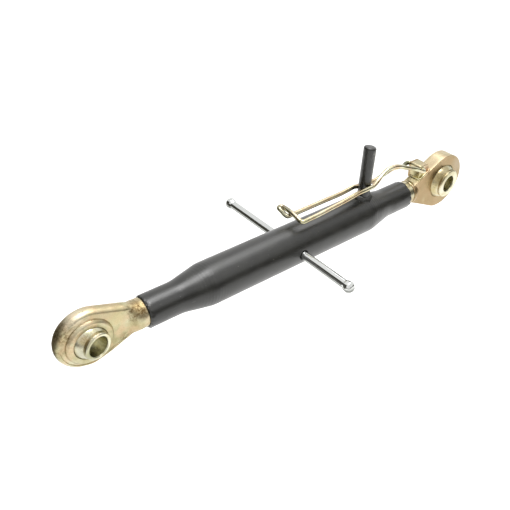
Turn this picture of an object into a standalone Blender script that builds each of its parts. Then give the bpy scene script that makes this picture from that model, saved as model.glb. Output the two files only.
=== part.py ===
"""Turnbuckle top link with two ball ends, a cross bar and a spring wire locking clip.

Metres, +Z up. The origin is the centre of the front ball. +X runs along the tube
to the rear ball, +Z along the locking post, Y along both pins.
"""

import math

import bmesh
import bpy
from mathutils import Vector

# Overall layout: the tube, and how far the front ball and the rear plate stand off its mouths
tube_half_length = 0.16985
front_reach = 0.0535
rear_tail_from_mouth = 0.0078
bar_past_middle = 0.00115

# Swaged tube
tube_radius = 0.0212
tube_wall = 0.0040
neck_radius = 0.0155
neck_length = 0.0350
swage_length = 0.0310
swage_blend = 0.0040
mouth_round = 0.0020
mouth_countersink = 0.0012

# Screwed ends
thread_radius = 0.0120
thread_clearance = 0.0003
tip_from_bar = 0.0310
tip_chamfer = 0.0015
shoulder_to_mouth = 0.0005

# Gap between pieces that touch, and overrun of every cut
seat_gap = 0.0003
cut_overrun = 0.0020

# Locking post and its weld
post_from_bar = 0.1015
post_radius = 0.0066
post_stand = 0.0598
post_top_round = 0.0014
post_weld_width = 0.0036
post_weld_height = 0.0040

# Cross bar
bar_radius = 0.0044
bar_length = 0.1900
bar_pushed_back = 0.0076
bar_hole_gap = 0.0009
bar_head_radius = 0.0059
bar_head_length = 0.0090
bar_head_round = 0.0024

# Balls
pin_bore_radius = 0.0095
ball_clearance = 0.0003
collar_chamfer = 0.0010
bore_chamfer = 0.0006
front_ball_radius = 0.0174
front_collar_radius = 0.0128
front_ball_width = 0.0325
front_ball_turn = math.radians(11.0)
rear_ball_radius = 0.0212
rear_collar_radius = 0.0166
rear_ball_width = 0.0338
rear_ball_turn = math.radians(3.0)

# Forged front eye: a slab with a rounded, slightly raised rim, a boss on each side, round shoulder
eye_radius = 0.0281
eye_centre_back = 0.0016
eye_centre_rise = 0.0025
eye_thickness = 0.0124
eye_rim_round = 0.0034
eye_rim_raise = 0.0008
eye_rim_step = 0.0005
eye_tail_length = 0.0470
shoulder_radius = 0.0136
shoulder_rise = 0.0010
shoulder_runout = 0.0130
boss_radius = 0.0220
boss_width = 0.0168
boss_bevel_width = 0.0020

# Rear eye plate, its stud and their weld
plate_radius = 0.0324
plate_thickness = 0.0156
plate_tail_length = 0.0553
plate_tail_height = 0.0190
plate_edge_round = 0.0008
stud_collar_radius = 0.0128
rear_weld_proud = 0.0005
rear_weld_over_plate = 0.0122

# Clip lug, welded on the plate's sloping upper edge a little to the far side
lug_length = 0.0140
lug_width = 0.0160
lug_aside = 0.0029
lug_from_tail = 0.0104
lug_left_lean = 0.0012
lug_right_lean = 0.0044
lug_corner_round = 0.0028
lug_edge_round = 0.0008
lug_sunk = 0.0030
lug_weld_width = 0.0015
lug_weld_height = 0.0013
hinge_over_tube = 0.0060
hinge_from_lug = 0.0045
lug_over_hinge = 0.0043

# Spring wire clip
wire_radius = 0.0024
wire_clearance = 0.0003
wire_stand_off = 0.0016
wire_in_lug = 0.0050
wire_bend = 0.0029
clip_reach = 0.1862
clip_arch = 0.0202
handle_reach = 0.0215
handle_pitch = 0.0054
return_pitch = 0.0034
near_corner_rise = 0.0031
far_corner_rise = 0.0010

# Smoothness of the round shapes
segments_large = 40
segments_small = 24
wire_step = 0.0032

# Places worked out from the sizes above
front_mouth_x = front_reach
tube_x = front_mouth_x + tube_half_length
rear_mouth_x = tube_x + tube_half_length
tail_x = rear_mouth_x + rear_tail_from_mouth
rear_x = tail_x + plate_tail_length
bar_x = tube_x + bar_past_middle
post_x = bar_x + post_from_bar
lug_x = tail_x + lug_from_tail
hinge_x = lug_x + hinge_from_lug
hinge_height = tube_radius + hinge_over_tube
lug_top = hinge_height + lug_over_hinge
thread_bore_radius = thread_radius + thread_clearance
middle_end = tube_half_length - neck_length - swage_length
neck_end = tube_half_length - neck_length

x_axis = (1, 0, 0)
y_axis = (0, 1, 0)
z_axis = (0, 0, 1)


def clear_scene():
    for item in list(bpy.data.objects):
        bpy.data.objects.remove(item, do_unlink=True)


def material(name, colour, roughness, metallic):
    made = bpy.data.materials.new(name)
    made.use_nodes = True
    shader = made.node_tree.nodes["Principled BSDF"]
    shader.inputs["Base Color"].default_value = (*colour, 1)
    shader.inputs["Roughness"].default_value = roughness
    shader.inputs["Metallic"].default_value = metallic
    return made


def add_empty(name, location):
    empty = bpy.data.objects.new(name, None)
    empty.location = location
    bpy.context.collection.objects.link(empty)
    return empty


def add_object(name, edit, look=None, location=(0, 0, 0), parent=None):
    """Turns an edit mesh into an object; the location is in the world, also under a parent."""
    bmesh.ops.recalc_face_normals(edit, faces=edit.faces[:])
    mesh = bpy.data.meshes.new(name)
    edit.to_mesh(mesh)
    edit.free()
    mesh.shade_smooth()
    mesh.set_sharp_from_angle(angle=math.radians(35))
    made = bpy.data.objects.new(name, mesh)
    bpy.context.collection.objects.link(made)
    if look:
        mesh.materials.append(look)
    made.location = location
    if parent:
        made.parent = parent
        made.location = Vector(location) - parent.location
    return made


def add_cutter(name, edit, location=(0, 0, 0)):
    made = add_object(name, edit, location=location)
    made.hide_render = True
    made.display_type = "WIRE"
    return made


def add_boolean(target, tool, operation="DIFFERENCE"):
    cut = target.modifiers.new(tool.name, "BOOLEAN")
    cut.operation = operation
    cut.solver = "EXACT"
    cut.object = tool


def add_bevel(target, width, segments):
    bevel = target.modifiers.new("Bevel", "BEVEL")
    bevel.width = width
    bevel.segments = segments
    bevel.limit_method = "ANGLE"
    bevel.angle_limit = math.radians(50)


def arc(centre, radius, start, end, steps):
    """Points (along, out) on an arc, with angles in degrees from the along axis."""
    points = []
    for step in range(steps + 1):
        turn = math.radians(start + (end - start) * step / steps)
        points.append((centre[0] + radius * math.cos(turn), centre[1] + radius * math.sin(turn)))
    return points


def mirrored(points):
    """The same outline points on the other side of the middle, in reverse order."""
    return [(-a, r) for a, r in reversed(points)]


def turned(profile, axis, segments, closed=False):
    """Spins points (along the axis, distance from it) into a closed body.

    An open profile starts and ends on the axis; a closed one is the section of a ring.
    """
    along = Vector(axis)
    out = Vector(x_axis) if axis == z_axis else Vector(z_axis)
    edit = bmesh.new()
    ring = [edit.verts.new(along * a + out * r) for a, r in profile]
    pairs = list(zip(ring, ring[1:]))
    if closed:
        pairs.append((ring[-1], ring[0]))
    edges = [edit.edges.new(pair) for pair in pairs]
    bmesh.ops.spin(
        edit, geom=ring + edges, cent=(0, 0, 0), axis=along,
        angle=2 * math.pi, steps=segments, use_merge=True, use_duplicate=False,
    )
    bmesh.ops.remove_doubles(edit, verts=edit.verts[:], dist=seat_gap / 100)
    return edit


def rod(start, end, radius, axis, segments=segments_small):
    return turned([(start, 0), (start, radius), (end, radius), (end, 0)], axis, segments)


def lofted(outlines):
    """Joins equal outlines [(y, [(x, z), ...]), ...] into one closed body."""
    edit = bmesh.new()
    loops = [[edit.verts.new((x, y, z)) for x, z in outline] for y, outline in outlines]
    edit.faces.new(loops[0])
    for one, other in zip(loops, loops[1:]):
        for i in range(len(one)):
            j = (i + 1) % len(one)
            edit.faces.new((one[i], one[j], other[j], other[i]))
    edit.faces.new(loops[-1])
    return edit


def slab(outline, thickness):
    return lofted([(-thickness / 2, outline), (thickness / 2, outline)])


def teardrop(radius, tail_length, tail_half_height, direction, centre=(0, 0), tail_rise=0, steps=40):
    """A round head whose straight sides leave it as tangents to a narrower tail.

    The head's centre and the tail's height are given from the bore: (towards the tail, up).
    """
    turns = []
    for side in (1, -1):
        along = tail_length - centre[0]
        up = side * tail_half_height + tail_rise - centre[1]
        turns.append(math.atan2(up, along) + side * math.acos(radius / math.hypot(along, up)))
    tail = direction * tail_length
    outline = [(tail, tail_rise - tail_half_height), (tail, tail_rise + tail_half_height)]
    sweep = 2 * math.pi + turns[1] - turns[0]
    for step in range(steps + 1):
        turn = turns[0] + sweep * step / steps
        outline.append((
            direction * (centre[0] + radius * math.cos(turn)), centre[1] + radius * math.sin(turn),
        ))
    return outline


def tube_outside(offset=0):
    """The outer line of the swaged tube from mouth to mouth, or the line that far outside it."""
    slope = (tube_radius - neck_radius) / swage_length
    ease = swage_blend * slope
    half = [
        (middle_end - swage_blend, tube_radius),
        (middle_end, tube_radius - ease / 4),
        (middle_end + swage_blend, tube_radius - ease),
        (neck_end - swage_blend, neck_radius + ease),
        (neck_end, neck_radius + ease / 4),
        (neck_end + swage_blend, neck_radius),
        (tube_half_length - mouth_round, neck_radius),
    ]
    half = [(a, r + offset) for a, r in half]
    return mirrored(half) + half


def tube_section():
    rounding = arc((tube_half_length - mouth_round, neck_radius - mouth_round), mouth_round, 90, 0, 3)[1:]
    inside = [
        (tube_half_length, thread_bore_radius + mouth_countersink),
        (tube_half_length - mouth_countersink, thread_bore_radius),
        (neck_end, thread_bore_radius),
        (middle_end, tube_radius - tube_wall),
    ]
    return mirrored(rounding) + tube_outside() + rounding + inside + mirrored(inside)


def ball_section(radius, collar_radius, width):
    """Half section of a ball with a collar at each end and a through bore."""
    half = width / 2
    turn = math.degrees(math.asin(collar_radius / radius))
    collar = [
        (half - bore_chamfer, pin_bore_radius),
        (half, pin_bore_radius + bore_chamfer),
        (half, collar_radius - collar_chamfer),
        (half - collar_chamfer, collar_radius),
    ]
    return collar + arc((0, 0), radius, turn, 180 - turn, 12) + mirrored(collar)


def smooth_path(controls):
    """Evenly stepped points on a Catmull-Rom curve through the control points."""
    points = [Vector(place) for place in controls]
    ends = [2 * points[0] - points[1]] + points + [2 * points[-1] - points[-2]]
    path = []
    for before, start, end, after in zip(ends, ends[1:], ends[2:], ends[3:]):
        count = max(2, round((end - start).length / wire_step))
        for step in range(count):
            t = step / count
            straight = (end - before) * t
            curved = (2 * before - 5 * start + 4 * end - after) * t**2
            cubic = (3 * start - before - 3 * end + after) * t**3
            path.append(start + (straight + curved + cubic) / 2)
    path.append(points[-1])
    return path


clear_scene()

black_paint = material("black_paint", (0.028, 0.028, 0.026), 0.32, 0.0)
forged_zinc = material("forged_zinc", (0.60, 0.48, 0.26), 0.36, 1.0)
plate_zinc = material("plate_zinc", (0.58, 0.44, 0.22), 0.34, 1.0)
ball_zinc = material("ball_zinc", (0.66, 0.58, 0.38), 0.28, 1.0)
bright_zinc = material("bright_zinc", (0.78, 0.78, 0.76), 0.22, 1.0)
wire_zinc = material("wire_zinc", (0.66, 0.58, 0.34), 0.27, 1.0)

front_end = add_empty("front_end", (0, 0, 0))
rear_end = add_empty("rear_end", (rear_x, 0, 0))

# Tube with its cross hole
tube = add_object(
    "tube", turned(tube_section(), x_axis, segments_large, closed=True), black_paint, (tube_x, 0, 0)
)
hole_reach = tube_radius + cut_overrun
bar_hole = add_cutter(
    "bar_hole", rod(-hole_reach, hole_reach, bar_radius + bar_hole_gap, y_axis), (bar_x, 0, 0)
)
add_boolean(tube, bar_hole)

# The tube's outside, grown by the seat gap, shapes the feet of the post and of its weld
seat_line = tube_outside(seat_gap)
tube_seat = add_cutter(
    "tube_seat",
    turned([(seat_line[0][0], 0)] + seat_line + [(seat_line[-1][0], 0)], x_axis, segments_large),
    (tube_x, 0, 0),
)
post_top = tube_radius + post_stand
post_edge = arc((post_top - post_top_round, post_radius - post_top_round), post_top_round, 90, 0, 3)
locking_post = add_object(
    "locking_post",
    turned(
        [(tube_radius / 2, 0), (tube_radius / 2, post_radius)] + post_edge + [(post_top, 0)],
        z_axis, segments_small,
    ),
    black_paint, (post_x, 0, 0),
)
add_boolean(locking_post, tube_seat)

weld_inner = post_radius + seat_gap
weld_outer = weld_inner + post_weld_width
weld_foot = math.sqrt(tube_radius**2 - weld_outer**2) - post_weld_height / 2
post_weld = add_object(
    "post_weld",
    turned(
        [
            (weld_foot, weld_inner),
            (weld_foot, weld_outer),
            (tube_radius - post_weld_height / 4, weld_outer),
            (tube_radius + post_weld_height / 3, weld_outer - post_weld_width / 3),
            (tube_radius + post_weld_height, weld_inner + post_weld_width / 4),
            (tube_radius + post_weld_height, weld_inner),
        ],
        z_axis, segments_small, closed=True,
    ),
    black_paint, (post_x, 0, 0),
)
add_boolean(post_weld, tube_seat)

# Cross bar with an upset head at each end
half_bar = bar_length / 2
head_start = half_bar - bar_head_length
round_centre = bar_head_radius - bar_head_round
head = (
    [(head_start, bar_radius)]
    + arc((head_start + bar_head_round, round_centre), bar_head_round, 150, 90, 3)
    + arc((half_bar - bar_head_round, round_centre), bar_head_round, 90, 0, 3)
    + [(half_bar, 0)]
)
tommy_bar = add_object(
    "tommy_bar", turned(mirrored(head) + head, y_axis, segments_small),
    bright_zinc, (bar_x, bar_pushed_back, 0),
)

# Front eye: the slab, its bosses, the shoulder and the shank are one forging. The rim's section is
# a quarter ellipse on each side, and the flat face lies a step below it.
shoulder_end = front_mouth_x - shoulder_to_mouth
eye_half = eye_thickness / 2
rim_shares = ((1.0, 1.0), (0.93, 0.62), (0.75, 0.33), (0.42, 0.09), (0.0, 0.0))


def eye_outline(inset):
    return teardrop(
        eye_radius - inset, eye_tail_length, shoulder_radius - inset, 1,
        (-eye_centre_back, eye_centre_rise), shoulder_rise,
    )


near_levels = [(-eye_half + eye_rim_raise, eye_outline(eye_rim_round + eye_rim_step))]
for across_share, inset_share in rim_shares:
    near_levels.append((-across_share * eye_half, eye_outline(inset_share * eye_rim_round)))
far_levels = [(-y, outline) for y, outline in reversed(near_levels[:-1])]
front_eye = add_object("front_eye", lofted(near_levels + far_levels), forged_zinc, (0, 0, 0), front_end)

runout_start = eye_tail_length - shoulder_runout
front_tip = bar_x - tip_from_bar
runout_shares = ((0.0, 0.30), (0.35, 0.46), (0.65, 0.70), (0.88, 0.92), (1.0, 0.99))
front_shoulder = add_cutter(
    "front_shoulder",
    turned(
        [(runout_start, 0)]
        + [(runout_start + along_share * shoulder_runout, radius_share * shoulder_radius)
           for along_share, radius_share in runout_shares]
        + [
            (shoulder_end - tip_chamfer, shoulder_radius),
            (shoulder_end, shoulder_radius - tip_chamfer),
            (shoulder_end, 0),
        ],
        x_axis, segments_large,
    ),
    (0, 0, shoulder_rise),
)
front_shank = add_cutter(
    "front_shank",
    turned(
        [
            (eye_tail_length, 0),
            (eye_tail_length, thread_radius),
            (front_tip - tip_chamfer, thread_radius),
            (front_tip, thread_radius - tip_chamfer),
            (front_tip, 0),
        ],
        x_axis, segments_large,
    ),
)
add_boolean(front_eye, front_shoulder, "UNION")
add_boolean(front_eye, front_shank, "UNION")

boss_half = boss_width / 2
boss_bevel_end = (boss_half + eye_half - eye_rim_raise) / 2
boss = add_cutter(
    "boss",
    turned(
        [
            (-boss_half, 0),
            (-boss_half, boss_radius - boss_bevel_width),
            (-boss_bevel_end, boss_radius),
            (boss_bevel_end, boss_radius),
            (boss_half, boss_radius - boss_bevel_width),
            (boss_half, 0),
        ],
        y_axis, segments_large,
    ),
)
add_boolean(front_eye, boss, "UNION")
front_seat = add_cutter(
    "front_seat", turned(arc((0, 0), front_ball_radius + ball_clearance, 180, 0, 26), y_axis, segments_large)
)
add_boolean(front_eye, front_seat)

front_ball = add_object(
    "front_ball",
    turned(ball_section(front_ball_radius, front_collar_radius, front_ball_width), y_axis, segments_large,
           closed=True),
    ball_zinc, (0, 0, 0), front_end,
)
front_ball.rotation_euler = (0, 0, front_ball_turn)

# Rear eye: a thick plate with a spherical seat
rear_eye = add_object(
    "rear_eye",
    slab(teardrop(plate_radius, plate_tail_length, plate_tail_height / 2, -1), plate_thickness),
    plate_zinc, (rear_x, 0, 0), rear_end,
)
add_bevel(rear_eye, plate_edge_round, 1)
rear_seat = add_cutter(
    "rear_seat",
    turned(arc((0, 0), rear_ball_radius + ball_clearance, 180, 0, 28), y_axis, segments_large),
    (rear_x, 0, 0),
)
add_boolean(rear_eye, rear_seat)

rear_ball = add_object(
    "rear_ball",
    turned(ball_section(rear_ball_radius, rear_collar_radius, rear_ball_width), y_axis, segments_large,
           closed=True),
    ball_zinc, (rear_x, 0, 0), rear_end,
)
rear_ball.rotation_euler = (0, 0, rear_ball_turn)

# Rear stud, butted against the plate's tail
stud_end = tail_x - seat_gap
collar_start = rear_mouth_x + shoulder_to_mouth
rear_tip = bar_x + tip_from_bar
rear_stud = add_object(
    "rear_stud",
    turned(
        [
            (rear_tip, 0),
            (rear_tip, thread_radius - tip_chamfer),
            (rear_tip + tip_chamfer, thread_radius),
            (collar_start, thread_radius),
            (collar_start, stud_collar_radius),
            (stud_end, stud_collar_radius),
            (stud_end, 0),
        ],
        x_axis, segments_large,
    ),
    forged_zinc, (0, 0, 0), rear_end,
)

# The joint's bead runs out over the plate's flats; the plate, grown by the seat gap, is cut out of it
bead_low = plate_thickness / 2 + seat_gap
bead_high = stud_collar_radius + rear_weld_proud
bead_shares = ((0.0, 0.96), (0.10, 1.0), (0.33, 0.97), (0.57, 0.66), (0.82, 0.26), (1.0, 0.0))
rear_weld = add_object(
    "rear_weld",
    turned(
        [(tail_x, 0)]
        + [(tail_x + along_share * rear_weld_over_plate, bead_low + height_share * (bead_high - bead_low))
           for along_share, height_share in bead_shares]
        + [(tail_x + rear_weld_over_plate, 0)],
        x_axis, segments_large,
    ),
    plate_zinc, (0, 0, 0), rear_end,
)
plate_room = add_cutter(
    "plate_room",
    slab(
        teardrop(plate_radius + seat_gap, plate_tail_length + seat_gap, plate_tail_height / 2 + seat_gap, -1),
        plate_thickness + 2 * seat_gap,
    ),
    (rear_x, 0, 0),
)
add_boolean(rear_weld, plate_room)

# Clip lug: a cross block on the plate's sloping upper edge, with a lip down the far side
lug_foot_left = lug_left_lean
lug_foot_right = lug_length + lug_right_lean


def plate_edge(from_lug):
    """Height of the straight stretch of the plate's upper edge, at a distance along from the lug."""
    half = plate_tail_height / 2
    slope = math.asin(plate_radius / math.hypot(plate_tail_length, half)) - math.atan2(half, plate_tail_length)
    return half + (lug_from_tail + from_lug) * math.tan(slope)


def lug_outline(offset):
    rounding = lug_corner_round + offset
    high = lug_top - lug_corner_round
    return (
        [(lug_foot_right + offset, plate_edge(lug_foot_right) - lug_sunk - offset)]
        + arc((lug_length - lug_corner_round, high), rounding, 27, 90, 5)
        + arc((lug_corner_round, high), rounding, 90, 176, 5)
        + [(lug_foot_left - offset, plate_edge(lug_foot_left) - lug_sunk - offset)]
    )


clip_lug = add_object(
    "clip_lug", slab(lug_outline(0), lug_width), plate_zinc, (lug_x, lug_aside, 0), rear_end
)
add_bevel(clip_lug, lug_edge_round, 1)
lug_room = add_cutter(
    "lug_room", slab(lug_outline(seat_gap), lug_width + 2 * seat_gap), (lug_x, lug_aside, 0)
)
hole_reach = lug_width / 2 + cut_overrun
wire_hole = add_cutter(
    "wire_hole", rod(-hole_reach, hole_reach, wire_radius + wire_clearance, y_axis),
    (hinge_x, lug_aside, hinge_height),
)
for tool in (plate_room, wire_hole):
    add_boolean(clip_lug, tool)

# Weld round the lug's foot on the plate's edge: near side and both ends
weld_near = lug_aside - lug_width / 2 - lug_weld_width
weld_far = plate_thickness / 2
weld_left = lug_foot_left - lug_weld_width
weld_right = lug_foot_right + lug_weld_width
lug_weld = add_object(
    "lug_weld",
    slab(
        [
            (weld_left, plate_edge(weld_left) - lug_weld_height),
            (weld_right, plate_edge(weld_right) - lug_weld_height),
            (weld_right, plate_edge(weld_right) + lug_weld_height),
            (weld_left, plate_edge(weld_left) + lug_weld_height),
        ],
        weld_far - weld_near,
    ),
    plate_zinc, (lug_x, (weld_far + weld_near) / 2, 0), rear_end,
)
add_bevel(lug_weld, lug_weld_width / 2, 2)
for tool in (lug_room, plate_room):
    add_boolean(lug_weld, tool)

# Wire clip. Its centre line is given from the hinge towards the cross bar. Both strands pass
# close beside the post; the near one arches over the tube's mouth, and the end is bent into
# a hairpin handle that reaches past the far side.
hinge_to_post = hinge_x - post_x
post_to_handle = clip_reach - hinge_to_post
beside_lug = lug_width / 2 + wire_radius + wire_stand_off
beside_post = post_radius + wire_radius + wire_clearance
over_crossing = far_corner_rise + 2 * wire_radius + wire_clearance
handle_back = clip_reach + handle_pitch
return_back = clip_reach + return_pitch

# Shares of the run from hinge to post, of the strand's offset and of the arch's height
near_lug_shares = (
    (0.078, 1.0, 0.10), (0.162, 0.975, 0.30), (0.24, 0.95, 0.45), (0.322, 0.91, 0.594), (0.424, 0.85, 0.777),
)
near_waist_shares = (
    (0.51, 0.75, 0.94), (0.583, 0.645, 1.0), (0.68, 0.54, 0.96), (0.7525, 0.53, 0.82), (0.823, 0.53, 0.65),
    (0.88, 0.60, 0.505), (0.925, 0.86, 0.475), (0.965, 0.99, 0.48), (1.0, 1.0, 0.485),
)
near_handle_shares = (
    (0.061, 1.0, 0.44), (0.20, 1.0, 0.446), (0.336, 1.0, 0.36), (0.49, 1.0, 0.285), (0.636, 1.0, 0.238),
    (0.7725, 1.0, 0.19), (0.871, 1.0, 0.168),
)
far_lug_shares = ((0.07, 0.99, -0.02), (0.136, 0.80, 0.0), (0.20, 0.68, 0.09), (0.28, 0.55, 0.188))
far_waist_shares = (
    (0.406, 0.80, 0.347), (0.567, 0.645, 0.307), (0.735, 0.667, 0.129), (0.839, 0.82, 0.109),
    (0.905, 0.98, 0.104), (1.0, 1.0, 0.094),
)
far_handle_shares = (
    (0.069, 1.0, 0.155), (0.15, 1.0, 0.115), (0.285, 1.0, 0.07), (0.531, 1.0, 0.069), (0.773, 1.0, 0.06),
    (0.881, 1.0, 0.055),
)


def strand(side, lug_shares, waist_shares, handle_shares):
    """Places of one strand from the lug to the handle; side is -1 near and 1 far."""
    places = [
        (0, lug_aside + side * (lug_width / 2 - wire_in_lug), 0),
        (0, lug_aside + side * (beside_lug - wire_bend), 0),
        (-wire_bend * 0.29, lug_aside + side * (beside_lug - wire_bend * 0.29), 0),
        (-wire_bend, lug_aside + side * beside_lug, 0),
    ]
    for along, out, up in lug_shares:
        places.append((-along * hinge_to_post, lug_aside + side * out * beside_lug, up * clip_arch))
    for along, out, up in waist_shares:
        places.append((-along * hinge_to_post, side * out * beside_post, up * clip_arch))
    for along, out, up in handle_shares:
        places.append((-hinge_to_post - along * post_to_handle, side * out * beside_post, up * clip_arch))
    return places


handle_turn = handle_pitch / 2
handle = [
    (-clip_reach + wire_bend, -beside_post, near_corner_rise),
    (-clip_reach + wire_bend * 0.29, -beside_post + wire_bend * 0.29, near_corner_rise),
    (-clip_reach, -beside_post + wire_bend, near_corner_rise),
    (-clip_reach, 0, (over_crossing + near_corner_rise) / 2),
    (-clip_reach, beside_post, over_crossing),
    (-clip_reach, handle_reach - handle_turn, over_crossing),
    (-clip_reach - handle_turn * 0.29, handle_reach - handle_turn * 0.29, over_crossing),
    (-clip_reach - handle_turn, handle_reach, over_crossing),
    (-handle_back + handle_turn * 0.29, handle_reach - handle_turn * 0.29, over_crossing),
    (-handle_back, handle_reach - handle_turn, over_crossing),
    (-(handle_back + return_back) / 2, (handle_reach + beside_post) / 2, (over_crossing + far_corner_rise) / 2),
    (-return_back, beside_post + wire_bend, far_corner_rise),
    (-return_back + wire_bend * 0.29, beside_post + wire_bend * 0.29, far_corner_rise),
    (-return_back + wire_bend, beside_post, far_corner_rise),
]
near_strand = strand(-1, near_lug_shares, near_waist_shares, near_handle_shares)
far_strand = strand(1, far_lug_shares, far_waist_shares, far_handle_shares)
wire_path = smooth_path(near_strand + handle + far_strand[::-1])

wire = bpy.data.curves.new("clip_wire", "CURVE")
wire.dimensions = "3D"
wire.bevel_depth = wire_radius
wire.bevel_resolution = 2
wire.use_fill_caps = True
line = wire.splines.new("POLY")
line.points.add(len(wire_path) - 1)
for point, place in zip(line.points, wire_path):
    point.co = (*place, 1)
line.use_smooth = True
wire.materials.append(wire_zinc)
clip_wire = bpy.data.objects.new("clip_wire", wire)
bpy.context.collection.objects.link(clip_wire)
clip_wire.parent = rear_end
clip_wire.location = Vector((hinge_x, 0, hinge_height)) - rear_end.location
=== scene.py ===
import math
import bmesh
import bpy
import numpy as np
from mathutils import Matrix, Vector


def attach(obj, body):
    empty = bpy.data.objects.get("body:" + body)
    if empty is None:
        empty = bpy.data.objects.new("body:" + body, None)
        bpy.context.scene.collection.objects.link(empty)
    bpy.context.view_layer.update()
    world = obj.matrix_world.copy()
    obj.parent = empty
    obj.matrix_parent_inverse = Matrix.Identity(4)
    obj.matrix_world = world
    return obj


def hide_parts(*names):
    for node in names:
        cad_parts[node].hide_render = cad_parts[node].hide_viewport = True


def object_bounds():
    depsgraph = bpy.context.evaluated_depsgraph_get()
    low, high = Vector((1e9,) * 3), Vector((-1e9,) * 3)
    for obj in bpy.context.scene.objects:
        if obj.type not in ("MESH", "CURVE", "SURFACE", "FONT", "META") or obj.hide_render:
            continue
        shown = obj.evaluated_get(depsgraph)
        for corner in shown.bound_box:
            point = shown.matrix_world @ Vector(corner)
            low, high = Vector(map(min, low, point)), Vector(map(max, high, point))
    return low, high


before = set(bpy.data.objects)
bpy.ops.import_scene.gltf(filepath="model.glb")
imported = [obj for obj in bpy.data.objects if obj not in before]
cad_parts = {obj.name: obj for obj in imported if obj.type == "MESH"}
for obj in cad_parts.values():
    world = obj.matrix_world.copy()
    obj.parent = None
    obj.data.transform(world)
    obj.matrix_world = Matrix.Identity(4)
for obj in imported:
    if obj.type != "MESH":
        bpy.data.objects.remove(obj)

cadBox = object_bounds()
mm = 0.001
mergeDistance = 0.002 * mm  # points nearer than this become one
print("frame loaded:", len(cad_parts), "solids")


# Surface over a grid: rows run along the profile and columns go round it. Points that meet are merged
# and the faces turned outwards.
def gridPiece(name, points, wrapRows=False, wrapColumns=True, capStart=False, capEnd=False, sharp=38):
    rows, columns = points.shape[:2]
    index = np.arange(rows * columns).reshape(rows, columns)
    start, end = index[0].tolist(), index[-1].tolist()
    if wrapRows:
        index = np.vstack([index, index[:1]])
    if wrapColumns:
        index = np.hstack([index, index[:, :1]])
    quads = np.stack([index[:-1, :-1], index[1:, :-1], index[1:, 1:], index[:-1, 1:]], -1).reshape(-1, 4)
    faces = quads.tolist() + [start] * capStart + [end[::-1]] * capEnd
    mesh = bpy.data.meshes.new(name)
    mesh.from_pydata(points.reshape(-1, 3).tolist(), [], faces)
    edit = bmesh.new()
    edit.from_mesh(mesh)
    bmesh.ops.remove_doubles(edit, verts=edit.verts[:], dist=mergeDistance)
    bmesh.ops.recalc_face_normals(edit, faces=edit.faces[:])
    edit.to_mesh(mesh)
    edit.free()
    mesh.shade_smooth()
    mesh.set_sharp_from_angle(angle=math.radians(sharp))
    piece = bpy.data.objects.new(name, mesh)
    bpy.context.collection.objects.link(piece)
    return piece


# A bore through a finished piece: the tool's solid is taken away and the tool deleted.
def cutBore(piece, toolGrid, sharp=38):
    tool = gridPiece("boreTool", toolGrid)
    cut = piece.modifiers.new("bore", "BOOLEAN")
    cut.object, cut.operation, cut.solver = tool, "DIFFERENCE", "EXACT"
    bored = bpy.data.meshes.new_from_object(piece.evaluated_get(bpy.context.evaluated_depsgraph_get()))
    piece.modifiers.clear()
    piece.data = bored
    bored.shade_smooth()
    bored.set_sharp_from_angle(angle=math.radians(sharp))
    bpy.data.objects.remove(tool, do_unlink=True)


# A piece takes its finish, rides on its body and stands for its solid.
def fit(piece, look, body, nodeName):
    piece.data.materials.clear()
    piece.data.materials.append(look)
    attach(piece, body)
    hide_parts(nodeName)


# Arc from one angle to another, in degrees, as (along, out) points.
def arcPoints(centre, radius, start, end, count):
    turn = np.radians(np.linspace(start, end, count))
    return np.stack([centre[0] + radius * np.cos(turn), centre[1] + radius * np.sin(turn)], 1)


# Profile with each corner replaced by a parabola between its two sides: corners are (along, out, rounding).
def roundedProfile(corners, steps=5):
    corners = np.array(corners, float)
    parts = [corners[:1, :2]]
    t = np.linspace(0, 1, steps + 1)[:, None]
    for before, corner, after in zip(corners[:-2], corners[1:-1], corners[2:]):
        p, radius = corner[:2], corner[2]
        a, b = before[:2] - p, after[:2] - p
        la, lb = np.linalg.norm(a), np.linalg.norm(b)
        half = math.acos(np.clip(a @ b / la / lb, -1, 1)) / 2
        if radius <= 0 or half > 1.55:
            parts.append(p[None])
            continue
        reach = min(radius / math.tan(half), 0.49 * la, 0.49 * lb)
        parts.append(p + a / la * reach * (1 - t) ** 2 + b / lb * reach * t ** 2)
    parts.append(corners[-1:, :2])
    return np.vstack(parts)


# The same line with points added on it so that no step is longer than the spacing.
def refined(profile, spacing):
    parts = []
    for a, b in zip(profile[:-1], profile[1:]):
        count = max(1, int(np.ceil(np.linalg.norm(b - a) / spacing)))
        parts.append(a + (b - a) * np.linspace(0, 1, count, endpoint=False)[:, None])
    return np.vstack(parts + [profile[-1:]])


# Surface of revolution: each profile point (along, out) goes once round the axis through the centre.
def turnedGrid(profile, axis, centre, columns=128):
    along = np.eye(3)["xyz".index(axis)]
    first = np.eye(3)[{"x": 1, "y": 2, "z": 0}[axis]]
    second = np.cross(along, first)
    turn = np.linspace(0, 2 * np.pi, columns, endpoint=False)
    ring = first * np.cos(turn)[:, None] + second * np.sin(turn)[:, None]
    return np.array(centre) + profile[:, :1, None] * along + profile[:, 1:, None] * ring[None]


# Solid rod to cut a bore with: a rectangle turned round its axis, twice as long as its reach.
def rodGrid(reach, radius, axis, centre, columns):
    line = np.array([[-reach, 0], [-reach, radius], [reach, radius], [reach, 0]])
    return turnedGrid(line, axis, centre, columns)


# Smooth uneven field, about -1 to 1: the sum of seven sine waves in seeded directions, each 0.7 to 1.5
# times the given wavelength.
def unevenness(points, wavelength, seed):
    random = np.random.default_rng(seed)
    total = np.zeros(points.shape[:-1])
    for k in range(7):
        direction = random.normal(size=3)
        direction *= 2 * np.pi / (wavelength * random.uniform(0.7, 1.5)) / np.linalg.norm(direction)
        total += np.sin(points @ direction + random.uniform(0, 6.28))
    return total / 3.5


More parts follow.
